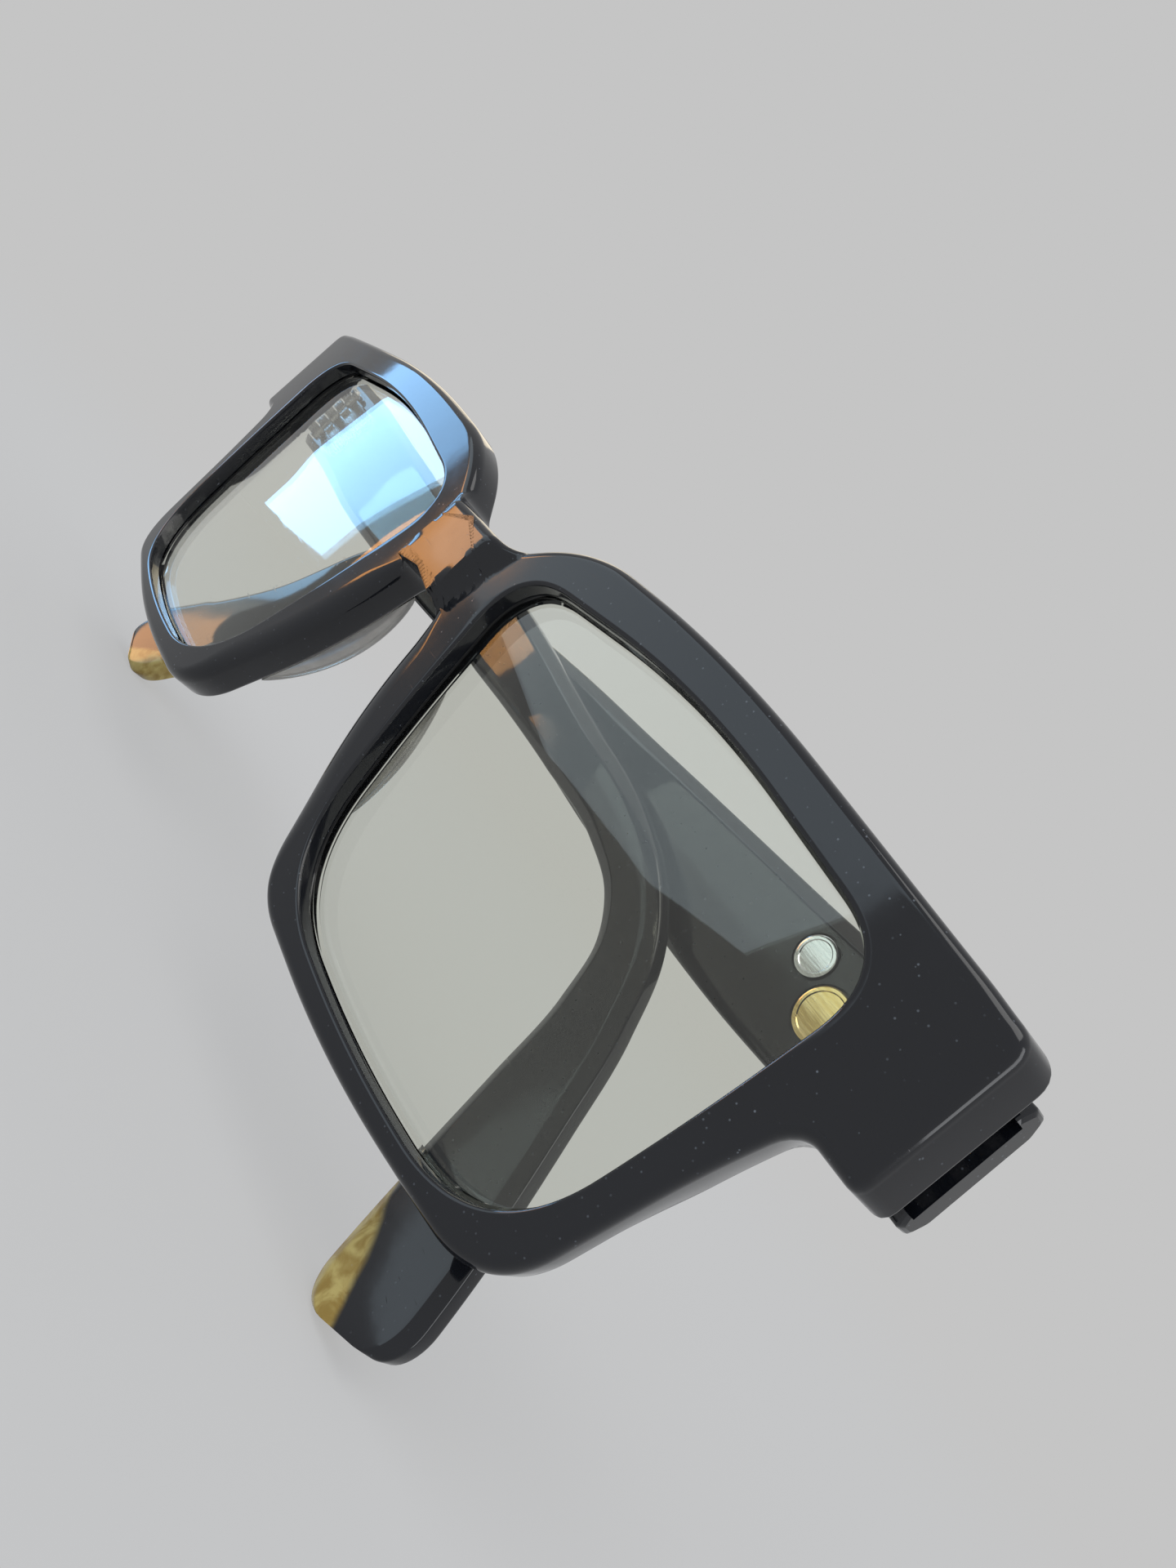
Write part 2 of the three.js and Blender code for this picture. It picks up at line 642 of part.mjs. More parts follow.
// One side of the glasses, drawn as the left one and mirrored for the right.
function side(name, mirror, fold) {
  const group = new THREE.Group();
  group.scale.x = mirror;
  group.add(
    named(`lens_${name}`, lens(), tint()),
    named(`nose_pad_${name}`, nosePad(), gloss(0x3a352f, 0.2)),
    named(`hinge_front_leaf_${name}`, frontLeaf(), metal(0x9a9a96)),
    named(`hinge_screw_${name}`, screw().translate(hingeX, hingeY, 0), metal(0xb0b0ac)),
  );
  const swing = hinged(fold);
  swing.add(
    named(`temple_${name}`, temple(mirror > 0), acetate()),
    named(`temple_core_${name}`, wire(CORE_RADIUS, 0.004, 0.67), metal(0xa8a8a0)),
    named(`hinge_temple_leaf_${name}`, templeLeaf(), metal(0x9a9a96)),
  );
  if (mirror > 0) {
    swing.add(
      named('temple_disc_silver', disc(...silverSpot, 0.4, 0.15, 0), metal(0xd8dade, 0.15)),
      named('temple_disc_gold', disc(...goldSpot, 0.4, 0.15, 0), metal(0xe6c36a, 0.15)),
    );
  }
  group.add(swing);
  return group;
}

const glasses = new THREE.Group();
glasses.add(
  named('front_frame', frontFrame(), acetate()),
  side('left', 1, FOLD_LEFT),
  side('right', -1, FOLD_RIGHT),
);

// The origin is under the middle of the object's box.
const box = new THREE.Box3().setFromObject(glasses, true);
const middle = box.getCenter(new THREE.Vector3());
glasses.position.set(-middle.x, -middle.y, -box.min.z);

export default glasses;
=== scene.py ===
import math

import bmesh
import bpy
import numpy as np
from mathutils import Matrix, Vector


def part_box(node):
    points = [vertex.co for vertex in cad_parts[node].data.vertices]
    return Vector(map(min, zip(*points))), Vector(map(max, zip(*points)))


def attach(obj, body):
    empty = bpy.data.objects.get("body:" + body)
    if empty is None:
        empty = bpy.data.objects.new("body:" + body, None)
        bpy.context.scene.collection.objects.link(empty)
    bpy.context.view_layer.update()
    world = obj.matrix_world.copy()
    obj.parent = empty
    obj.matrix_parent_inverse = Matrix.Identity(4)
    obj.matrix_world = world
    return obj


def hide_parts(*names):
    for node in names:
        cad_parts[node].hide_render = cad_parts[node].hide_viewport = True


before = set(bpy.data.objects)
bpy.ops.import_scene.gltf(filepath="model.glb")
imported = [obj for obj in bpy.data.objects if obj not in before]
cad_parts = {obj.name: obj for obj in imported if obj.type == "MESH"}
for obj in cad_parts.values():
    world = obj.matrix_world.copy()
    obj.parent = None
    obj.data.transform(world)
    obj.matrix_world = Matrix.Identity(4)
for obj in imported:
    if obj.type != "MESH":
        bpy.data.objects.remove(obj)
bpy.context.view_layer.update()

# Acetate sunglasses with folded temples. Shapes are worked out in millimetres in the front's own
# coordinates (u across, w up, n out of the face) or the temple's (a outwards, b back, z up), and
# placed in the row frame in metres.
MM = 0.001

LENS_WIDTH = 52.0
LENS_HEIGHT = 39.4
LENS_NOSE = 10.0              # half the bridge
FRONT_RADIUS = 337.0
RIM_DEPTH = 4.4
BROW_WIDTH = 4.9
SIDE_WIDTH = 3.2
CHIN_WIDTH = 2.7
NOSE_WIDTH = 4.6
BRIDGE_HEIGHT = 8.2
BRIDGE_RISE = 1.9
BRIDGE_FACET = 4.2
ENDPIECE_REACH = 9.0
ENDPIECE_HEIGHT = 15.6
ENDPIECE_BACK = 12.2
ENDPIECE_DRAFT = 2.4
EDGE_ROUND = 1.1
NOSE_BEVEL = 1.5
LIP = 0.35                    # rounding of the lens opening's edges
LENS_THICKNESS = 1.9
LENS_SET_BACK = 1.9
LENS_CROWN = 0.6
GROOVE_DEPTH = 1.1
LENS_CLEARANCE = 0.25
PAD_RISE = 3.4
PAD_WIDTH = 3.6
PAD_GAP = 0.2
TEMPLE_LENGTH = 150.0
TEMPLE_THICKNESS = 3.4
BUTT_THICKNESS = 4.0
BUTT_HEIGHT = 13.0
WAIST_HEIGHT = 5.6
TIP_HEIGHT = 11.8
TIP_CURL = 6.4
TEMPLE_BEVEL = 1.3
INNER_FACE = 0.4
BUTT = -3.4
TIP_ROUND = 3.4
FOLD = {"left": math.radians(88.1), "right": math.radians(91.6)}
SILVER = (1.9, 16.8, 2.2)     # radius, distance from the hinge, height over the hinge's middle
GOLD = (2.5, 12.4, -0.5)

LENS_SIDE = LENS_NOSE + LENS_WIDTH
LENS_MIDDLE = (LENS_NOSE + LENS_SIDE) / 2
LENS_TOP = LENS_HEIGHT / 2
CHIN = -LENS_TOP - CHIN_WIDTH
BROW = LENS_TOP + BROW_WIDTH
RIM_SIDE = LENS_SIDE + SIDE_WIDTH
ENDPIECE_SIDE = RIM_SIDE + ENDPIECE_REACH
ENDPIECE_TOP = BROW - 3.5
ENDPIECE_UNDER = ENDPIECE_TOP - ENDPIECE_HEIGHT
BRIDGE_TOP = LENS_TOP - 2.8
BRIDGE_UNDER = BRIDGE_TOP - BRIDGE_HEIGHT
FLAT_FROM = RIM_SIDE - 0.6
HINGE_Z = ENDPIECE_TOP - ENDPIECE_HEIGHT / 2 - 1.6

front_low, front_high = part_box("front_frame")
leaf_low, leaf_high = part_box("hinge_front_leaf_left")
screw_low, screw_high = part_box("hinge_screw_left")
OFFSET = np.array([
    (front_low[0] + front_high[0]) / 2 / MM,
    front_low[1] / MM + BRIDGE_RISE,
    (leaf_low[2] + leaf_high[2]) / 2 / MM - HINGE_Z,
])
HINGE_X = (screw_low[0] + screw_high[0]) / 2 / MM - OFFSET[0]
HINGE_Y = (screw_low[1] + screw_high[1]) / 2 / MM - OFFSET[1]
LEAF_LOW = leaf_low[2] / MM - OFFSET[2]
LEAF_HIGH = leaf_high[2] / MM - OFFSET[2]


# ---- meshes -----------------------------------------------------------------------------------
def smooth(value, start, end):
    """0 below start, 1 above end, and the cubic 3t^2 - 2t^3 between them."""
    t = np.clip((np.asarray(value, float) - start) / (end - start), 0.0, 1.0)
    return t * t * (3 - 2 * t)


def piece(name, points, faces, body, material, replaced=(), crease=35):
    """A mesh of millimetre points and index faces, merged, faced outwards and shaded smooth up to crease."""
    mesh = bpy.data.meshes.new(name)
    rows = (np.asarray(points, float) + OFFSET) * MM
    mesh.from_pydata(rows.tolist(), [], faces)
    work = bmesh.new()
    work.from_mesh(mesh)
    bmesh.ops.remove_doubles(work, verts=work.verts, dist=2e-7)
    loose = [v for v in work.verts if not v.link_faces]
    bmesh.ops.delete(work, geom=loose, context="VERTS")
    bmesh.ops.recalc_face_normals(work, faces=work.faces)
    work.to_mesh(mesh)
    work.free()
    finish_shading(mesh, crease)
    mesh.materials.append(material)
    made = bpy.data.objects.new(name, mesh)
    bpy.context.collection.objects.link(made)
    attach(made, body)
    if replaced:
        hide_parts(*replaced)
    return made


def finish_shading(mesh, crease):
    mesh.shade_smooth()
    mesh.set_sharp_from_angle(angle=math.radians(crease))


def grid_faces(rings, columns, close_rings=False, close_columns=True, skip=None):
    """Quads between neighbouring rings and columns of a grid numbered ring by ring."""
    i = np.arange(rings if close_rings else rings - 1)
    j = np.arange(columns if close_columns else columns - 1)
    i, j = (v.ravel() for v in np.meshgrid(i, j, indexing="ij"))
    if skip is not None:
        keep = ~skip(i, j)
        i, j = i[keep], j[keep]
    across, along = (i + 1) % rings, (j + 1) % columns
    here, there = i * columns, across * columns
    return np.stack([here + j, there + j, there + along, here + along], 1).tolist()


def skin(rings):
    """A closed skin over rings of points, shape (rings, columns, 3), with a flat face at each end."""
    count, columns, _ = rings.shape
    faces = grid_faces(count, columns)
    faces.append(list(range(columns)))
    faces.append(list(range((count - 1) * columns, count * columns)))
    return rings.reshape(-1, 3), faces


def box_faces(low, high):
    """The eight corners and six faces of an upright box."""
    spans = list(zip(low, high))
    corners = np.array([[x, y, z] for x in spans[0] for y in spans[1] for z in spans[2]])
    return corners, [[0, 1, 3, 2], [4, 6, 7, 5], [0, 4, 5, 1], [2, 3, 7, 6], [0, 2, 6, 4], [1, 5, 7, 3]]


def carve(made, cutters, crease=35):
    """Takes closed bodies, given as (points in mm, faces), out of a finished piece."""
    points, faces = [], []
    for corner, quads in cutters:
        start = sum(len(p) for p in points)
        points.append(corner)
        faces += [[start + k for k in quad] for quad in quads]
    mesh = bpy.data.meshes.new("cutter")
    mesh.from_pydata(((np.concatenate(points) + OFFSET) * MM).tolist(), [], faces)
    work = bmesh.new()
    work.from_mesh(mesh)
    bmesh.ops.recalc_face_normals(work, faces=work.faces)
    work.to_mesh(mesh)
    work.free()
    tool = bpy.data.objects.new("cutter", mesh)
    bpy.context.collection.objects.link(tool)
    change = made.modifiers.new("carve", "BOOLEAN")
    change.operation = "DIFFERENCE"
    change.solver = "EXACT"
    change.use_self = True
    change.object = tool
    result = bpy.data.meshes.new_from_object(made.evaluated_get(bpy.context.evaluated_depsgraph_get()))
    made.modifiers.clear()
    made.data = result
    finish_shading(result, crease)
    bpy.data.objects.remove(tool)


# ---- outlines of the front ----------------------------------------------------------------------
class Outline:
    """A path through corners (u, w, reach): straight stretches, with a quadratic curve at each corner
    that starts and ends its reach away. Points and left-hand normals are read by share of the length."""

    SAMPLES = 6000

    def __init__(self, corners, closed):
        points = np.array([c[:2] for c in corners], float)
        reach = np.array([c[2] for c in corners], float)
        edge = np.linalg.norm(np.diff(points, axis=0), axis=1)
        room = edge / np.maximum(reach[:-1] + reach[1:], 1e-9)
        path = [points[:1]]
        t = np.linspace(0, 1, 40)[:, None]
        for i in range(1, len(points) - 1):
            here = reach[i] * min(1, 0.98 * room[i - 1], 0.98 * room[i])
            before = points[i] + (points[i - 1] - points[i]) / edge[i - 1] * here
            after = points[i] + (points[i + 1] - points[i]) / edge[i] * here
            path.append((1 - t) ** 2 * before + 2 * t * (1 - t) * points[i] + t * t * after)
        path.append(points[-1:])
        path = np.concatenate(path)
        length = np.concatenate([[0], np.cumsum(np.linalg.norm(np.diff(path, axis=0), axis=1))])
        self.at = np.linspace(0, 1, self.SAMPLES + 1)
        self.point = np.stack([np.interp(self.at, length / length[-1], path[:, k]) for k in (0, 1)], 1)
        self.closed = closed
        run = np.roll(self.point[:-1], -8, 0) - np.roll(self.point[:-1], 8, 0)
        run = np.concatenate([run, run[:1]])
        if not closed:
            run[:8] = self.point[8] - self.point[0]
            run[-9:] = self.point[-1] - self.point[-9]
        run /= np.linalg.norm(run, axis=1)[:, None]
        self.left = np.stack([-run[:, 1], run[:, 0]], 1)

    def read(self, share):
        share = np.asarray(share, float)
        if self.closed:
            share = share % 1.0
        point, left = (np.stack([np.interp(share, self.at, v[:, k]) for k in (0, 1)], 1)
                       for v in (self.point, self.left))
        return point, left / np.linalg.norm(left, axis=1)[:, None]

    def nearest(self, u, w):
        return self.at[np.argmin(np.hypot(self.point[:, 0] - u, self.point[:, 1] - w))]


def lens_outline():
    """The lens opening: nose corner, brow, side and chin, each a share of the lens box."""
    corners = [(LENS_NOSE + a * LENS_WIDTH, b * LENS_HEIGHT, r * LENS_HEIGHT) for a, b, r in (
        (0.045, 0, 0.15), (-0.03, 0.43, 0.19), (0.47, 0.523, 0.3), (1.012, 0.445, 0.18),
        (0.99, 0, 0.2), (0.945, -0.47, 0.28), (0.56, -0.505, 0.23), (0.155, -0.465, 0.27))]
    start = tuple(corners[7][k] + 0.63 * (corners[0][k] - corners[7][k]) for k in (0, 1)) + (0,)
    return Outline([start, *corners, start], True)


def front_outline():
    """The outer outline of the left half, from the top of the bridge round to its underside."""
    nose = LENS_NOSE - NOSE_WIDTH
    return Outline([
        (0, BRIDGE_TOP, 0), (nose, BRIDGE_TOP, 1.6), (LENS_NOSE + 3, BROW - 1.4, 6),
        (LENS_MIDDLE - 2, BROW + 0.1, 12), (ENDPIECE_SIDE - 8, ENDPIECE_TOP + 0.6, 6),
        (ENDPIECE_SIDE, ENDPIECE_TOP, 2.4), (ENDPIECE_SIDE, ENDPIECE_UNDER, 1.4),
        (RIM_SIDE + 1.4, ENDPIECE_UNDER, 2.4), (RIM_SIDE - 0.6, -2, 5), (RIM_SIDE - 3.6, CHIN + 2.2, 6.5),
        (LENS_MIDDLE + 2, CHIN - 0.1, 10), (LENS_NOSE + 7.6, CHIN + 1.2, 5.5), (nose + 2.4, -4.5, 8),
        (nose - 0.9, BRIDGE_UNDER, 2.2), (0, BRIDGE_UNDER, 0)], False)


OPENING = lens_outline()
OUTER = front_outline()


def facing_shares():
    """Shares of the outer outline and of the opening that face each other across the rim."""
    nose = LENS_NOSE - NOSE_WIDTH
    stations = [
        (0, BRIDGE_TOP, LENS_NOSE, BRIDGE_TOP - 5, 0),
        (nose, BRIDGE_TOP, LENS_NOSE, BRIDGE_TOP - 3.5, 14),
        (LENS_NOSE + 3, BROW - 1.4, LENS_NOSE + 2.5, LENS_TOP - 1.5, 34),
        (ENDPIECE_SIDE - 8, ENDPIECE_TOP + 0.6, LENS_SIDE - 4, LENS_TOP - 1.3, 60),
        (ENDPIECE_SIDE, ENDPIECE_TOP, LENS_SIDE, LENS_TOP - 6, 34),
        (ENDPIECE_SIDE, ENDPIECE_UNDER, LENS_SIDE, ENDPIECE_UNDER + 3.6, 26),
        (RIM_SIDE + 1.4, ENDPIECE_UNDER, LENS_SIDE, ENDPIECE_UNDER - 1.2, 30),
        (RIM_SIDE - 2.6, CHIN + 8, LENS_SIDE - 1.8, 7 - LENS_TOP, 30),
        (LENS_SIDE - 6, CHIN + 0.6, LENS_SIDE - 8, 0.4 - LENS_TOP, 40),
        (LENS_NOSE + 13, CHIN + 0.5, LENS_NOSE + 13, 0.5 - LENS_TOP, 34),
        (LENS_NOSE + 3.4, CHIN + 7, LENS_NOSE + 5, 7.5 - LENS_TOP, 36),
        (nose - 0.9, BRIDGE_UNDER, LENS_NOSE, BRIDGE_UNDER - 4, 36),
        (0, BRIDGE_UNDER, LENS_NOSE, BRIDGE_UNDER - 2, 12),
    ]
    outer = np.array([OUTER.nearest(u, w) for u, w, *_ in stations])
    outer[0], outer[-1] = 0, 1
    inner = np.array([OPENING.nearest(u, w) for _, _, u, w, _ in stations])
    inner[-2:] += 1
    marks = np.cumsum([s[4] for s in stations])
    steps = np.arange(marks[-1] + 1)
    return np.interp(steps, marks, outer), np.interp(steps, marks, inner)


def bend(u, w, n):
    """Flat (u, w, n) wrapped on an upright cylinder: the angle is u / radius, and n adds to the radius."""
    angle = u / FRONT_RADIUS
    radius = FRONT_RADIUS + n
    return np.stack(np.broadcast_arrays(radius * np.sin(angle), FRONT_RADIUS - radius * np.cos(angle), w), -1)


def bridge_rise(u, w):
    """Height of the bridge's flat: full within its facet, sloping straight down to a foot further out."""
    foot = BRIDGE_FACET + 0.7 + 2.4 * np.clip((w - BRIDGE_UNDER) / BRIDGE_HEIGHT, 0, 1)
    return BRIDGE_RISE * np.clip((foot - u) / (foot - BRIDGE_FACET), 0, 1)


def back_face(u):
    """Depth of the back: even behind the rim, and a plane across the endpiece."""
    flat = (FRONT_RADIUS - ENDPIECE_BACK) / np.cos(u / FRONT_RADIUS) - FRONT_RADIUS
    return -RIM_DEPTH + (flat + RIM_DEPTH) * smooth(u, RIM_SIDE - 2, FLAT_FROM)


def rim_grid(inner, outward, wall, inward, rounding):
    """Sections through the rim, as (sections, columns, 3), and the columns where the wall starts and ends.

    Each section runs from the opening's rounded lip across the face, round a quarter ellipse to the
    wall, round a second one to the back, and home through the lens groove."""
    lean = ENDPIECE_DRAFT * smooth(wall[:, 0], RIM_SIDE + 1, ENDPIECE_SIDE - 1)
    by_nose = 1 - smooth(wall[:, 0], LENS_NOSE + 2, LENS_NOSE + 9)
    under = 1 - smooth(wall[:, 1], BRIDGE_UNDER - 6, BRIDGE_UNDER)
    bevel = rounding * (EDGE_ROUND + NOSE_BEVEL * by_nose * under)

    def moved(inset, share):
        spot = wall + inward * np.asarray(inset)[:, None]
        spot[:, 0] -= lean * share
        return spot

    columns = []

    def add(spot, n):
        columns.append(bend(spot[:, 0], spot[:, 1], n))

    lip = inner + outward * LIP
    for turn in np.linspace(0, math.pi / 2, 5)[:-1]:
        add(inner + outward * LIP * (1 - math.cos(turn)), -LIP * (1 - math.sin(turn)))
    edge = moved(bevel, 1)
    for t in np.linspace(0, 1, 22)[:-1]:
        spot = lip + (edge - lip) * t
        add(spot, bridge_rise(spot[:, 0], spot[:, 1]))
    wall_starts = len(columns)
    drop = 1.3 * EDGE_ROUND
    for turn in np.linspace(0, math.pi / 2, 9):
        spot = moved(bevel * (1 - math.sin(turn)), 1 - 0.25 * turn / (math.pi / 2))
        add(spot, bridge_rise(spot[:, 0], spot[:, 1]) - drop * (1 - math.cos(turn)))
    heel_round = 0.5 * EDGE_ROUND
    for turn in np.linspace(0, math.pi / 2, 6):
        spot = moved(rounding * heel_round * (1 - math.cos(turn)), 0.1 * (1 - math.sin(turn)))
        add(spot, back_face(spot[:, 0]) + heel_round * (1 - math.sin(turn)))
    wall_ends = len(columns) - 1
    heel = moved(rounding * heel_round, 0)
    for t in np.linspace(0, 1, 14)[1:]:
        spot = heel + (lip - heel) * t
        add(spot, back_face(spot[:, 0]))
    behind = back_face(inner[:, 0])
    for turn in np.linspace(0, math.pi / 2, 4)[1:]:
        add(inner + outward * LIP * (1 - math.sin(turn)), behind + LIP * (1 - math.cos(turn)))
    middle = -LENS_SET_BACK - LENS_THICKNESS / 2
    mouth = LENS_THICKNESS / 2 + 0.1
    add(inner, middle - mouth)
    add(inner + outward * GROOVE_DEPTH, middle)
    add(inner, middle + mouth)
    return np.stack(columns, 1), wall_starts, wall_ends


def front_rims(material):
    """The front: sections all round one opening, mirrored, with the halves open towards each other."""
    outer_at, inner_at = facing_shares()
    wall, out = OUTER.read(outer_at)
    inner, outward = OPENING.read(inner_at)
    out[0], out[-1] = (0, 1), (0, -1)
    seams = np.linspace(0, 1, 22)[1:-1]
    seam_wall = np.stack([0 * seams, BRIDGE_UNDER + (BRIDGE_TOP - BRIDGE_UNDER) * seams], 1)
    seam_inner, seam_outward = OPENING.read(inner_at[-1] - 1 + (inner_at[0] - inner_at[-1] + 1) * seams)
    grid, starts, ends = rim_grid(
        np.concatenate([inner, seam_inner]), np.concatenate([outward, seam_outward]),
        np.concatenate([wall, seam_wall]), np.concatenate([-out, np.tile([0.0, 1.0], (len(seams), 1))]),
        np.concatenate([np.ones(len(wall)), np.zeros(len(seams))]))
    rings, columns, _ = grid.shape
    faces = grid_faces(rings, columns, True, True,
                       lambda i, j: (i >= len(wall) - 1) & (j >= starts) & (j < ends))
    grid[len(wall) - 1:, starts:ends + 1, 0] = 0
    grid[0, starts:ends + 1, 0] = 0
    half = grid.reshape(-1, 3)
    other = half * [-1, 1, 1]
    faces += [[len(half) + k for k in reversed(face)] for face in faces]
    made = piece("front_rims", np.concatenate([half, other]), faces, "front", material,
                 ["front_frame"])
    pocket = box_faces((HINGE_X - 3.6, ENDPIECE_BACK - 1.15, LEAF_LOW - 0.2),
                       (HINGE_X + 1.4, ENDPIECE_BACK + 1, LEAF_HIGH + 0.2))
    carve(made, [pocket, (pocket[0] * [-1, 1, 1], pocket[1])])
    return made


# ---- lenses and nose pads -------------------------------------------------------------------------
def lens(side, mirror, material):
    """A crowned plate: copies of the opening shrunk towards its middle, raised by crown * (1 - size^2),
    with a V ridge round the edge."""
    point, outward = OPENING.read(np.linspace(0, 1, 260, endpoint=False))
    middle = np.array([LENS_MIDDLE, 0.0])
    front = -LENS_SET_BACK
    back = front - LENS_THICKNESS
    sizes = np.concatenate([np.linspace(0.03, 0.97, 22), [1.0]])

    def ring(size, out, n):
        spot = middle + (point - middle) * size + outward * out
        return bend(spot[:, 0], spot[:, 1], n + LENS_CROWN * (1 - size * size))

    def inset(size):
        return -LENS_CLEARANCE if size == 1 else 0

    ridge = GROOVE_DEPTH - LENS_CLEARANCE - 0.1
    rings = [ring(s, inset(s), front) for s in sizes]
    rings.append(ring(1, ridge, (front + back) / 2))
    rings += [ring(s, inset(s), back) for s in sizes[::-1]]
    points, faces = skin(np.stack(rings) * [mirror, 1, 1])
    return piece(f"lens_glass_{side}", points, faces, "front", material, [f"lens_{side}"], 30)


def nose_pad(side, mirror, material):
    """A pad along the nose wall: a skewed dome across, swelling as sin^0.6 along its length."""
    near = (OUTER.point[:, 0] < LENS_NOSE + 8) & (OUTER.point[:, 1] < BRIDGE_UNDER - 2.5)
    near &= OUTER.point[:, 1] > BRIDGE_UNDER - 22
    shares = OUTER.at[near]
    steps = np.linspace(0, 1, 90)
    wall, out = OUTER.read(shares.min() + (shares.max() - shares.min()) * steps)
    swell = np.maximum(np.sin(math.pi * steps), 0.0) ** 0.6
    across = np.linspace(0, math.pi, 34)
    inset = 0.3 + 0.2 + (PAD_WIDTH - 0.2) * (0.5 - 0.5 * np.cos(across)) ** 1.2
    deep = np.sin(across) ** 0.75
    width = (0.45 + 0.55 * swell)[:, None]
    spot = wall[:, None, :] - out[:, None, :] * (0.3 + (inset[None, :] - 0.3) * width)[..., None]
    n = -RIM_DEPTH - PAD_GAP - deep[None, :] * (PAD_RISE * (0.02 + 0.98 * swell))[:, None]
    points, faces = skin(bend(spot[..., 0], spot[..., 1], n) * [mirror, 1, 1])
    return piece(f"nose_pad_skin_{side}", points, faces, "front", material,
                 [f"nose_pad_{side}"])


# ---- temples ----------------------------------------------------------------------------------------
def temple_line(share):
    """The middle line (b, z) and its direction: a cubic Hermite curve through places along the temple,
    whose slope at each is the difference of its neighbours over the chord lengths between them."""
    start = HINGE_Z + 0.6
    places = np.array([
        (0, 0), (8, -0.1), (24, -1.2), (48, -1.9), (68, -2.1), (88, -3.3), (100.5, -4.4), (107.5, -6.6),
        (112.5, -10.6), (115.4, -16.2), (118.4, -24.4), (122.2, -33), (127.4, -43.6)])
    places = np.stack([BUTT + places[:, 0] * TEMPLE_LENGTH / 150, start + places[:, 1]], 1)
    knots = np.concatenate([[0], np.cumsum(np.linalg.norm(np.diff(places, axis=0), axis=1))])
    slopes = np.gradient(places, knots, axis=0)
    fine = np.linspace(0, knots[-1], 4000)
    k = np.clip(np.searchsorted(knots, fine, side="right") - 1, 0, len(knots) - 2)
    gap = (knots[k + 1] - knots[k])[:, None]
    t = ((fine - knots[k]) / gap[:, 0])[:, None]
    curve = ((2 * t ** 3 - 3 * t ** 2 + 1) * places[k] + (t ** 3 - 2 * t ** 2 + t) * gap * slopes[k]
             + (3 * t ** 2 - 2 * t ** 3) * places[k + 1] + (t ** 3 - t ** 2) * gap * slopes[k + 1])
    run = np.gradient(curve, axis=0)
    run /= np.linalg.norm(run, axis=1)[:, None]
    length = np.concatenate([[0], np.cumsum(np.linalg.norm(np.diff(curve, axis=0), axis=1))])
    length /= length[-1]
    return tuple(np.stack([np.interp(share, length, v[:, c]) for c in (0, 1)], 1) for v in (curve, run))


def temple_rings():
    """Rings (stations, columns, 3) as (a, b, z): an octagon with eased corners, carried along the line."""
    end = 1 - TIP_ROUND / TEMPLE_LENGTH
    turn = np.linspace(0, math.pi / 2, 12)[1:]
    share = np.concatenate([
        [0, 0.0012, 0.0025], np.linspace(0.006, end, 300), end + np.sin(turn) * (1 - end)])
    inset = np.concatenate([[0.45, 0.14, 0.0], np.zeros(300 + len(turn))])
    shrink = np.concatenate([np.ones(303), 0.6 + 0.4 * np.cos(turn)])
    spot, run = temple_line(share)
    waist = BUTT_HEIGHT + (WAIST_HEIGHT - BUTT_HEIGHT) * smooth(share, 0.12, 0.72)
    half = (waist + (TIP_HEIGHT - waist) * smooth(share, 0.7, 0.98)) / 2 * shrink - inset
    thickness = BUTT_THICKNESS + (TEMPLE_THICKNESS - BUTT_THICKNESS) * smooth(share, 0, 0.16)
    outer = INNER_FACE + thickness - inset
    inner = INNER_FACE + inset
    curl = TIP_CURL * smooth(share, 0.8, 1.2) / smooth(1.0, 0.8, 1.2)
    bevel = np.minimum(TEMPLE_BEVEL, half * 0.45)
    shallow = 0.62 * bevel
    corners = np.stack([np.stack(pair, 1) for pair in (
        (inner, half - bevel), (inner + shallow, half), (outer - shallow, half), (outer, half - bevel),
        (outer, bevel - half), (outer - shallow, -half), (inner + shallow, -half), (inner, bevel - half))], 1)
    eased = []
    for k in range(8):
        here, before, after = corners[:, k], corners[:, k - 1], corners[:, (k + 1) % 8]
        ends = []
        for other in (before, after):
            way = other - here
            away = np.linalg.norm(way, axis=1)[:, None]
            ends.append(here + way / away * np.minimum(0.32, away * 0.4))
        for t in (0.0, 0.25, 0.5, 0.75, 1.0):
            eased.append((1 - t) ** 2 * ends[0] + 2 * t * (1 - t) * here + t * t * ends[1])
    section = np.stack(eased, 1)
    a = section[..., 0] - curl[:, None]
    b = spot[:, None, 0] - run[:, None, 1] * section[..., 1]
    z = spot[:, None, 1] + run[:, None, 0] * section[..., 1]
    return np.stack([a, b, z], -1)


def folded(points, side):
    """Temple coordinates (a, b, z) turned about the hinge by the fold angle, and mirrored on the right."""
    angle = FOLD[side]
    x = HINGE_X + points[..., 0] * math.cos(angle) - points[..., 1] * math.sin(angle)
    y = HINGE_Y + points[..., 0] * math.sin(angle) + points[..., 1] * math.cos(angle)
    return np.stack([x if side == "left" else -x, y, points[..., 2]], -1)


def disc_rings(radius, back, height, low, high, ease):
    """A round plate facing the head: circles whose radius follows an eased edge and a shallow dish."""
    angle = np.linspace(0, 2 * math.pi, 96, endpoint=False)
    profile = [(radius, low), (radius, high + ease), (radius - 0.3 * ease, high + 0.3 * ease),
               (radius - ease, high), (radius - 2.6 * ease, high), (radius - 3.2 * ease, high + 0.5 * ease),
               (radius * 0.5, high + 0.36 * ease), (0.02, high + 0.3 * ease)]
    rings = [np.stack([np.full_like(angle, a), back + r * np.cos(angle), height + r * np.sin(angle)], -1)
             for r, a in [(0.02, low), *profile]]
    return np.stack(rings)


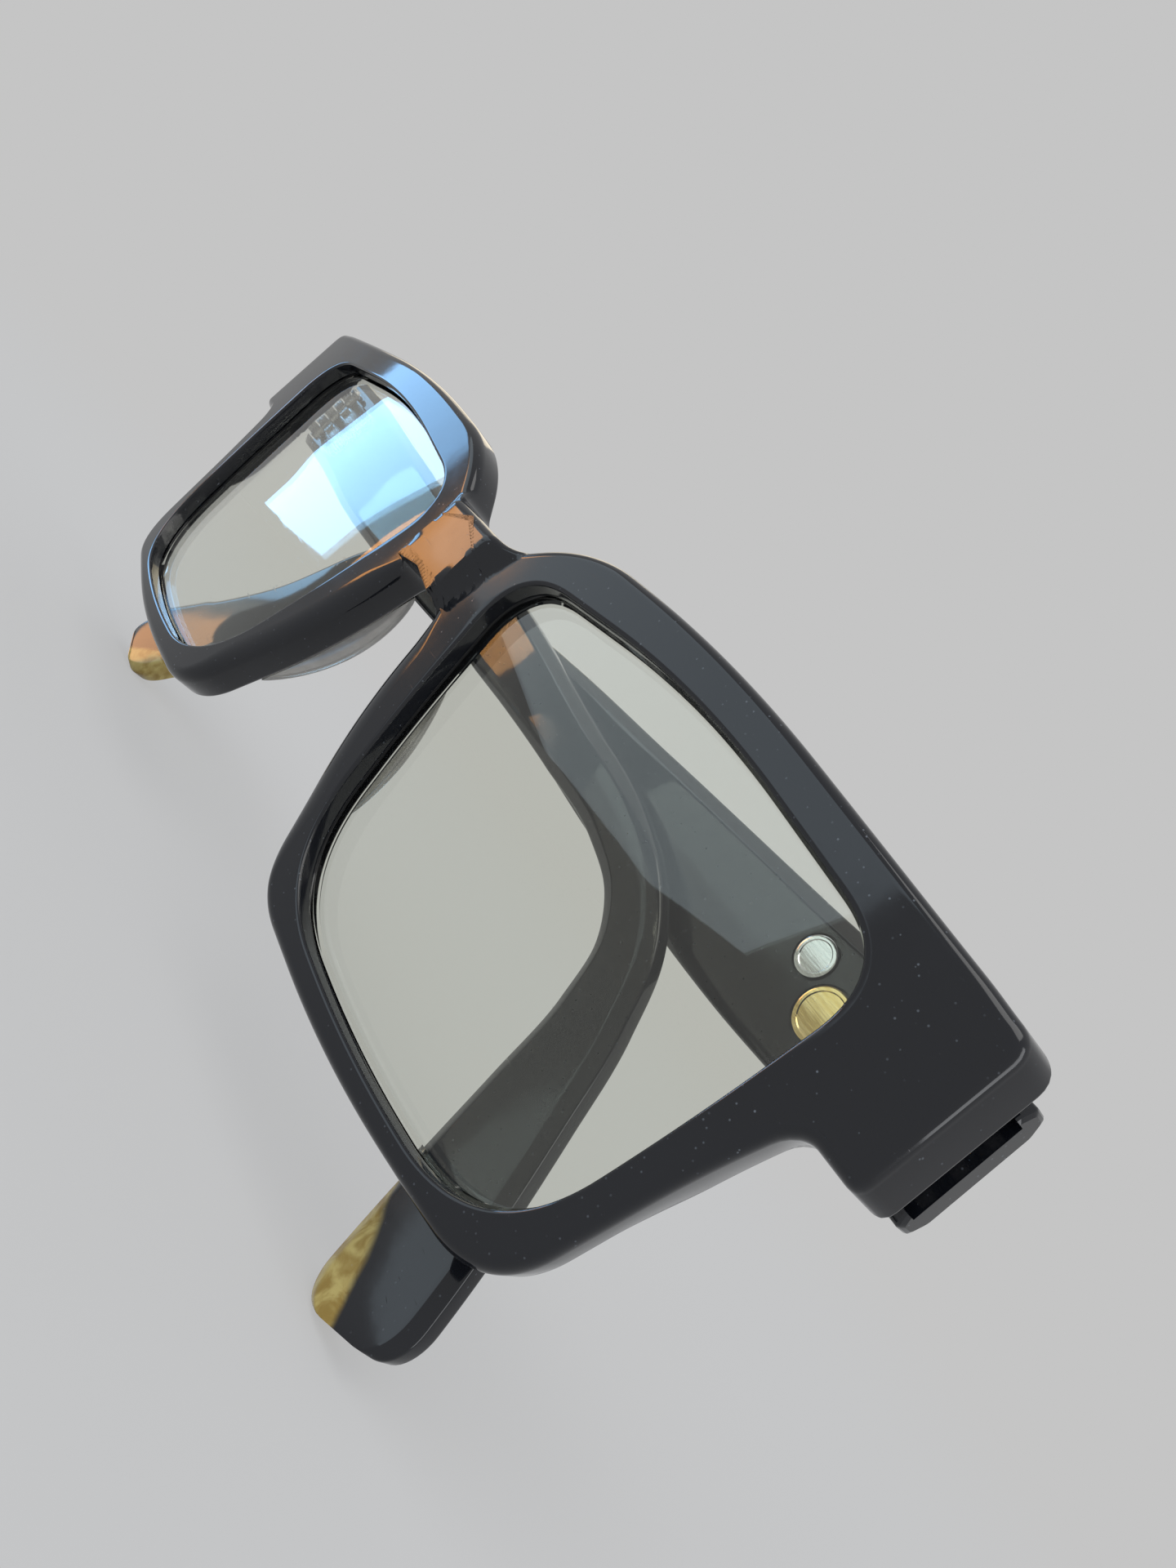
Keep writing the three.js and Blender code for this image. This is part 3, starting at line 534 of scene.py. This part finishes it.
def temple(side, material):
    body = f"{side}_temple"
    points, faces = skin(folded(temple_rings(), side))
    made = piece(f"temple_arm_{side}", points, faces, body, material, [f"temple_{side}"], 22)
    notch = box_faces((-2.5, BUTT - 1, LEAF_LOW - 0.6), (1.65, 1.85, LEAF_HIGH + 1.3))
    seat = box_faces((-2.5, 1.6, LEAF_LOW - 0.2), (1.0, 8.8, LEAF_HIGH + 0.2))
    tools = [notch, seat]
    if side == "left":
        for radius, back, height in (SILVER, GOLD):
            tools.append(skin(disc_rings(radius + 0.2, back, HINGE_Z + height, INNER_FACE + 0.5, -1.5, 0.01)))
    carve(made, [(folded(p, side), f) for p, f in tools], 22)
    return made


def temple_disc(name, spec, material):
    radius, back, height = spec
    rings = disc_rings(radius, back, HINGE_Z + height, INNER_FACE + 0.4, INNER_FACE - 0.15, 0.16)
    points, faces = skin(folded(rings, "left"))
    return piece(f"{name}_badge_plate", points, faces, "left_temple", material,
                 [f"temple_disc_{name}"], 28)


# ---- shader groups ------------------------------------------------------------------------------------
def group(name, inputs, outputs):
    tree = bpy.data.node_groups.new(name, "ShaderNodeTree")
    for label, kind, value in inputs:
        socket = tree.interface.new_socket(label, in_out="INPUT", socket_type=kind)
        if value is not None:
            socket.default_value = value
    for label, kind in outputs:
        tree.interface.new_socket(label, in_out="OUTPUT", socket_type=kind)
    return tree, tree.nodes.new("NodeGroupInput"), tree.nodes.new("NodeGroupOutput")


def node(tree, kind, values=None, **settings):
    made = tree.nodes.new(kind)
    for key, value in settings.items():
        setattr(made, key, value)
    for key, value in (values or {}).items():
        made.inputs[key].default_value = value
    return made


def ramp(tree, source, low, high, out_low=0.0, out_high=1.0):
    """Maps source from low..high to out_low..out_high, smoothly and clamped."""
    made = node(tree, "ShaderNodeMapRange", interpolation_type="SMOOTHSTEP")
    made.inputs["From Min"].default_value = low
    made.inputs["From Max"].default_value = high
    made.inputs["To Min"].default_value = out_low
    made.inputs["To Max"].default_value = out_high
    tree.links.new(source, made.inputs["Value"])
    return made.outputs["Result"]


def multiply(tree, a, b):
    made = node(tree, "ShaderNodeMath", operation="MULTIPLY")
    for k, source in enumerate((a, b)):
        if isinstance(source, (int, float)):
            made.inputs[k].default_value = source
        else:
            tree.links.new(source, made.inputs[k])
    return made.outputs[0]


def blended(tree, factor, low, high):
    """Mixes two colours, each a value or a socket, by factor."""
    made = node(tree, "ShaderNodeMix", data_type="RGBA")
    tree.links.new(factor, made.inputs["Factor"])
    for label, source in (("A", low), ("B", high)):
        socket = [s for s in made.inputs if s.name == label and s.type == "RGBA"][0]
        if isinstance(source, tuple):
            socket.default_value = source
        else:
            tree.links.new(source, socket)
    return [s for s in made.outputs if s.type == "RGBA"][0]


def dust_group():
    """Fine dust: small round specks in some cells of a scatter, thicker where a slow noise is high."""
    tree, given, result = group("dust", [
        ("Vector", "NodeSocketVector", None), ("Scale", "NodeSocketFloat", 1500.0),
        ("Cover", "NodeSocketFloat", 0.3)], [("Mask", "NodeSocketFloat")])
    cells = node(tree, "ShaderNodeTexVoronoi", feature="F1")
    tree.links.new(given.outputs["Vector"], cells.inputs["Vector"])
    tree.links.new(given.outputs["Scale"], cells.inputs["Scale"])
    dots = ramp(tree, cells.outputs["Distance"], 0.09, 0.2, 1.0, 0.0)
    chance = node(tree, "ShaderNodeSeparateColor")
    tree.links.new(cells.outputs["Color"], chance.inputs["Color"])
    kept = ramp(tree, chance.outputs["Red"], 0.62, 0.95)
    patches = node(tree, "ShaderNodeTexNoise", {"Scale": 90.0, "Detail": 3.0})
    tree.links.new(given.outputs["Vector"], patches.inputs["Vector"])
    thick = ramp(tree, patches.outputs["Fac"], 0.35, 0.75, 0.35, 1.0)
    mask = multiply(tree, multiply(tree, dots, kept), multiply(tree, thick, given.outputs["Cover"]))
    tree.links.new(mask, result.inputs["Mask"])
    return tree


def polish_group():
    """Hand-polished plastic: soft smears in the gloss, hairline scratches and a very fine waviness."""
    tree, given, result = group("polish", [
        ("Vector", "NodeSocketVector", None), ("Gloss", "NodeSocketFloat", 0.08),
        ("Smear", "NodeSocketFloat", 0.1)], [("Roughness", "NodeSocketFloat"), ("Height", "NodeSocketFloat")])
    slow = node(tree, "ShaderNodeTexNoise", {"Scale": 70.0, "Detail": 5.0, "Roughness": 0.6})
    tree.links.new(given.outputs["Vector"], slow.inputs["Vector"])
    smear = multiply(tree, ramp(tree, slow.outputs["Fac"], 0.45, 0.8), given.outputs["Smear"])
    stretch = node(tree, "ShaderNodeMapping")
    stretch.inputs["Rotation"].default_value = (0.3, 0.5, 0.4)
    stretch.inputs["Scale"].default_value = (150.0, 2600.0, 2600.0)
    tree.links.new(given.outputs["Vector"], stretch.inputs["Vector"])
    hair = node(tree, "ShaderNodeTexNoise", {"Scale": 1.0, "Detail": 1.0})
    tree.links.new(stretch.outputs["Vector"], hair.inputs["Vector"])
    scratch = ramp(tree, hair.outputs["Fac"], 0.72, 0.82)
    total = node(tree, "ShaderNodeMath", operation="ADD")
    tree.links.new(given.outputs["Gloss"], total.inputs[0])
    tree.links.new(smear, total.inputs[1])
    rough = node(tree, "ShaderNodeMath", operation="MULTIPLY_ADD")
    tree.links.new(scratch, rough.inputs[0])
    rough.inputs[1].default_value = 0.12
    tree.links.new(total.outputs[0], rough.inputs[2])
    tree.links.new(rough.outputs[0], result.inputs["Roughness"])
    wave = node(tree, "ShaderNodeTexNoise", {"Scale": 240.0, "Detail": 2.0})
    tree.links.new(given.outputs["Vector"], wave.inputs["Vector"])
    height = node(tree, "ShaderNodeMath", operation="MULTIPLY_ADD")
    tree.links.new(scratch, height.inputs[0])
    height.inputs[1].default_value = -0.25
    tree.links.new(wave.outputs["Fac"], height.inputs[2])
    tree.links.new(height.outputs[0], result.inputs["Height"])
    return tree


def brushed_group():
    """Metal drawn one way: noise stretched along X, as a height and as a tone."""
    tree, given, result = group("brushed", [
        ("Vector", "NodeSocketVector", None), ("Fineness", "NodeSocketFloat", 1.0)],
        [("Height", "NodeSocketFloat"), ("Tone", "NodeSocketFloat")])
    stretch = node(tree, "ShaderNodeMapping")
    stretch.inputs["Scale"].default_value = (300.0, 4000.0, 4000.0)
    tree.links.new(given.outputs["Vector"], stretch.inputs["Vector"])
    lines = node(tree, "ShaderNodeTexNoise", {"Detail": 4.0})
    tree.links.new(stretch.outputs["Vector"], lines.inputs["Vector"])
    tree.links.new(given.outputs["Fineness"], lines.inputs["Scale"])
    tree.links.new(lines.outputs["Fac"], result.inputs["Height"])
    tree.links.new(ramp(tree, lines.outputs["Fac"], 0.3, 0.7), result.inputs["Tone"])
    return tree


DUST = dust_group()
POLISH = polish_group()
BRUSHED = brushed_group()


# ---- materials ------------------------------------------------------------------------------------------
def material(name):
    made = bpy.data.materials.new(name)
    made.use_nodes = True
    tree = made.node_tree
    shader = tree.nodes["Principled BSDF"]
    place = node(tree, "ShaderNodeTexCoord").outputs["Object"]
    return made, tree, shader, place


def grouped(tree, kind, place, **values):
    made = node(tree, "ShaderNodeGroup", node_tree=kind)
    tree.links.new(place, made.inputs["Vector"])
    for key, value in values.items():
        made.inputs[key].default_value = value
    return made


def bumped(tree, shader, height, strength, distance):
    made = node(tree, "ShaderNodeBump", {"Strength": strength, "Distance": distance})
    tree.links.new(height, made.inputs["Height"])
    tree.links.new(made.outputs["Normal"], shader.inputs["Normal"])


BLACK = (0.0065, 0.0075, 0.0105, 1)
DUST_TONE = (0.34, 0.38, 0.43, 1)


def acetate(name, cover, colour=None):
    """Polished black acetate under fine dust. colour(tree, place) may give another base colour."""
    made, tree, shader, place = material(name)
    dust = grouped(tree, DUST, place, Scale=1700.0, Cover=cover)
    polish = grouped(tree, POLISH, place, Gloss=0.07, Smear=0.1)
    base = colour(tree, place) if colour else BLACK
    tree.links.new(blended(tree, dust.outputs["Mask"], base, DUST_TONE), shader.inputs["Base Color"])
    matt = node(tree, "ShaderNodeMath", operation="MULTIPLY_ADD")
    tree.links.new(dust.outputs["Mask"], matt.inputs[0])
    matt.inputs[1].default_value = 0.5
    tree.links.new(polish.outputs["Roughness"], matt.inputs[2])
    tree.links.new(matt.outputs[0], shader.inputs["Roughness"])
    bumped(tree, shader, polish.outputs["Height"], 0.06, 0.0002)
    shader.inputs["IOR"].default_value = 1.5
    return made


def tip_colour(side):
    """Honey-coloured horn in one corner of the temple's tip, past a slanted wavy boundary."""
    low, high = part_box(f"temple_{side}")
    outward = 1 if side == "right" else -1
    corner = (high[0] if side == "right" else low[0]) - outward * 12.5 * MM

    def colour(tree, place):
        along = node(tree, "ShaderNodeVectorMath", operation="DOT_PRODUCT")
        offset = node(tree, "ShaderNodeVectorMath", operation="SUBTRACT")
        offset.inputs[1].default_value = (corner, 0.0, low[2] + 8.5 * MM)
        tree.links.new(place, offset.inputs[0])
        tree.links.new(offset.outputs[0], along.inputs[0])
        along.inputs[1].default_value = (-0.66 * outward, 0.0, -0.75)
        wave = node(tree, "ShaderNodeTexNoise", {"Scale": 160.0, "Detail": 3.0})
        tree.links.new(place, wave.inputs["Vector"])
        edge = node(tree, "ShaderNodeMath", operation="MULTIPLY_ADD")
        tree.links.new(wave.outputs["Fac"], edge.inputs[0])
        edge.inputs[1].default_value = 1.6 * MM
        tree.links.new(along.outputs["Value"], edge.inputs[2])
        reach = node(tree, "ShaderNodeSeparateXYZ")
        tree.links.new(offset.outputs[0], reach.inputs[0])
        at_tip = ramp(tree, multiply(tree, reach.outputs["X"], outward), -26 * MM, -22 * MM)
        patch = multiply(tree, at_tip, ramp(tree, edge.outputs[0], 0.6 * MM, 1.5 * MM))
        grain = node(tree, "ShaderNodeTexNoise", {"Scale": 380.0, "Detail": 6.0, "Distortion": 1.5})
        tree.links.new(place, grain.inputs["Vector"])
        streaks = ramp(tree, grain.outputs["Fac"], 0.35, 0.68)
        horn = blended(tree, streaks, (0.30, 0.19, 0.035, 1), (0.52, 0.40, 0.13, 1))
        return blended(tree, patch, BLACK, horn)

    return colour


def lens_tint():
    """Lightly tinted lens, clear but for specks of dust and faint smears."""
    made, tree, shader, place = material("lens_tint")
    dust = grouped(tree, DUST, place, Scale=1300.0, Cover=0.3)
    polish = grouped(tree, POLISH, place, Gloss=0.012, Smear=0.03)
    tree.links.new(blended(tree, dust.outputs["Mask"], (0.83, 0.845, 0.765, 1), (0.9, 0.9, 0.86, 1)),
                   shader.inputs["Base Color"])
    matt = node(tree, "ShaderNodeMath", operation="MULTIPLY_ADD")
    tree.links.new(dust.outputs["Mask"], matt.inputs[0])
    matt.inputs[1].default_value = 0.5
    tree.links.new(polish.outputs["Roughness"], matt.inputs[2])
    tree.links.new(matt.outputs[0], shader.inputs["Roughness"])
    shader.inputs["Transmission Weight"].default_value = 1.0
    shader.inputs["IOR"].default_value = 1.5
    return made


def pad_plastic():
    """Smoky, slightly clear acetate of the nose pads."""
    made, tree, shader, place = material("pad_plastic")
    cloud = node(tree, "ShaderNodeTexNoise", {"Scale": 220.0, "Detail": 4.0})
    tree.links.new(place, cloud.inputs["Vector"])
    clouds = ramp(tree, cloud.outputs["Fac"], 0.3, 0.7)
    tree.links.new(blended(tree, clouds, (0.42, 0.40, 0.37, 1), (0.62, 0.6, 0.56, 1)),
                   shader.inputs["Base Color"])
    polish = grouped(tree, POLISH, place, Gloss=0.14, Smear=0.12)
    tree.links.new(polish.outputs["Roughness"], shader.inputs["Roughness"])
    bumped(tree, shader, polish.outputs["Height"], 0.05, 0.0002)
    shader.inputs["Transmission Weight"].default_value = 0.55
    shader.inputs["IOR"].default_value = 1.49
    return made


def metal(name, dark, light, roughness, strength):
    """Bright metal whose tone and relief follow its drawing lines."""
    made, tree, shader, place = material(name)
    lines = grouped(tree, BRUSHED, place, Fineness=1.0)
    tree.links.new(blended(tree, lines.outputs["Tone"], dark, light), shader.inputs["Base Color"])
    matt = ramp(tree, lines.outputs["Tone"], 0, 1, roughness * 0.8, roughness * 1.3)
    tree.links.new(matt, shader.inputs["Roughness"])
    bumped(tree, shader, lines.outputs["Height"], strength, 0.0001)
    shader.inputs["Metallic"].default_value = 1.0
    return made


# ---- stage, lights and camera ----------------------------------------------------------------------------
BACKGROUND = (0.558, 0.558, 0.558, 1)


def seen_directly(tree):
    """1 for camera, mirror and glass rays, 0 for the light that falls on the object."""
    path = node(tree, "ShaderNodeLightPath")
    first = node(tree, "ShaderNodeMath", operation="MAXIMUM")
    tree.links.new(path.outputs["Is Camera Ray"], first.inputs[0])
    tree.links.new(path.outputs["Is Glossy Ray"], first.inputs[1])
    both = node(tree, "ShaderNodeMath", operation="MAXIMUM")
    tree.links.new(first.outputs[0], both.inputs[0])
    tree.links.new(path.outputs["Is Transmission Ray"], both.inputs[1])
    return both.outputs[0]


def floor():
    size = 3.0
    mesh = bpy.data.meshes.new("floor")
    corners = [(-size, -size, 0), (size, -size, 0), (size, size, 0), (-size, size, 0)]
    mesh.from_pydata(corners, [], [(0, 1, 2, 3)])
    made = bpy.data.objects.new("floor", mesh)
    bpy.context.collection.objects.link(made)
    paint = bpy.data.materials.new("floor_paint")
    paint.use_nodes = True
    tree = paint.node_tree
    tree.nodes.remove(tree.nodes["Principled BSDF"])
    matt = node(tree, "ShaderNodeBsdfDiffuse", {"Color": BACKGROUND})
    glow = node(tree, "ShaderNodeEmission", {"Color": BACKGROUND})
    away = node(tree, "ShaderNodeVectorMath", operation="LENGTH")
    tree.links.new(node(tree, "ShaderNodeTexCoord").outputs["Object"], away.inputs[0])
    glowing = ramp(tree, away.outputs["Value"], 0.1, 0.32, 0.74, 1.0)
    mix = node(tree, "ShaderNodeMixShader")
    tree.links.new(multiply(tree, glowing, seen_directly(tree)), mix.inputs["Fac"])
    tree.links.new(matt.outputs[0], mix.inputs[1])
    tree.links.new(glow.outputs[0], mix.inputs[2])
    tree.links.new(mix.outputs[0], tree.nodes["Material Output"].inputs["Surface"])
    mesh.materials.append(paint)


def sky():
    world = bpy.data.worlds.new("studio")
    bpy.context.scene.world = world
    world.use_nodes = True
    tree = world.node_tree
    shade = tree.nodes["Background"]
    tree.links.new(blended(tree, seen_directly(tree), (0.62, 0.66, 0.72, 1), BACKGROUND), shade.inputs["Color"])


def softbox(name, direction, distance, size, radiance, colour, only_mirrored=False):
    """A square lamp that looks at the glasses; its power is radiance * area * pi. One that is only
    mirrored shows in polished faces but throws no light."""
    middle = Vector((0, 0, 0.03))
    data = bpy.data.lights.new(name, "AREA")
    data.shape = "RECTANGLE"
    data.size, data.size_y = size
    data.energy = radiance * size[0] * size[1] * math.pi
    data.color = colour
    made = bpy.data.objects.new(name, data)
    way = Vector(direction).normalized()
    made.location = middle + way * distance
    made.rotation_euler = way.to_track_quat("Z", "Y").to_euler()
    made.visible_camera = False
    made.visible_diffuse = not only_mirrored
    bpy.context.collection.objects.link(made)


def camera():
    """The viewing place beside the left endpiece, rolled, looking across both lenses."""
    place = Vector(((np.array([100.35, -69.29, 13.53]) + OFFSET) * MM).tolist())
    ahead = Vector((-0.680, 0.731, -0.048)).normalized()
    right = Vector((0.450, 0.469, 0.760))
    right = (right - ahead * right.dot(ahead)).normalized()
    up = right.cross(ahead)
    data = bpy.data.cameras.new("camera")
    data.lens = 27.2
    data.clip_start = 0.005
    made = bpy.data.objects.new("camera", data)
    made.matrix_world = Matrix.Translation(place) @ Matrix((right, up, -ahead)).transposed().to_4x4()
    bpy.context.collection.objects.link(made)
    bpy.context.scene.camera = made


def paint_node(name, finish):
    """A better finish on a CAD node that stays."""
    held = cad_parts[name]
    held.data.materials.clear()
    held.data.materials.append(finish)


def build():
    black = acetate("black_acetate", 0.34)
    front_rims(black)
    tint = lens_tint()
    pads = pad_plastic()
    steel = metal("hinge_steel", (0.42, 0.41, 0.40, 1), (0.62, 0.61, 0.59, 1), 0.3, 0.25)
    wire = metal("core_wire", (0.5, 0.49, 0.46, 1), (0.66, 0.64, 0.6, 1), 0.35, 0.2)
    for side, mirror in (("left", 1), ("right", -1)):
        lens(side, mirror, tint)
        nose_pad(side, mirror, pads)
        temple(side, acetate(f"temple_acetate_{side}", 0.3, tip_colour(side)))
        for name in ("hinge_front_leaf", "hinge_temple_leaf", "hinge_screw"):
            paint_node(f"{name}_{side}", steel)
        paint_node(f"temple_core_{side}", wire)
    silver = metal("bright_silver", (0.66, 0.68, 0.7, 1), (0.84, 0.85, 0.87, 1), 0.14, 0.08)
    temple_disc("silver", SILVER, silver)
    gold = metal("bright_gold", (0.72, 0.53, 0.2, 1), (0.9, 0.72, 0.36, 1), 0.14, 0.08)
    temple_disc("gold", GOLD, gold)


build()
floor()
sky()
softbox("overhead", (0.25, -0.35, 1.0), 2.0, (1.7, 1.4), 2.2, (1.0, 0.99, 0.97))
softbox("cool_front", (-0.55, -0.85, 0.3), 1.6, (1.5, 1.0), 1.1, (0.72, 0.88, 1.0))
softbox("side_strip", (1.0, 0.25, 0.35), 1.6, (0.4, 1.2), 2.6, (0.95, 0.97, 1.0))
softbox("warm_back", (-0.9, 0.35, 0.4), 1.4, (0.6, 0.4), 1.4, (1.0, 0.85, 0.6))
softbox("blue_pane", (-0.93, -0.33, 0.03), 0.36, (0.10, 0.16), 6.0, (0.27, 0.58, 1.0), True)
softbox("amber_pane", (-0.80, -0.58, 0.03), 0.36, (0.05, 0.10), 6.5, (1.0, 0.42, 0.1), True)
camera()
bpy.context.scene.view_settings.view_transform = "Standard"
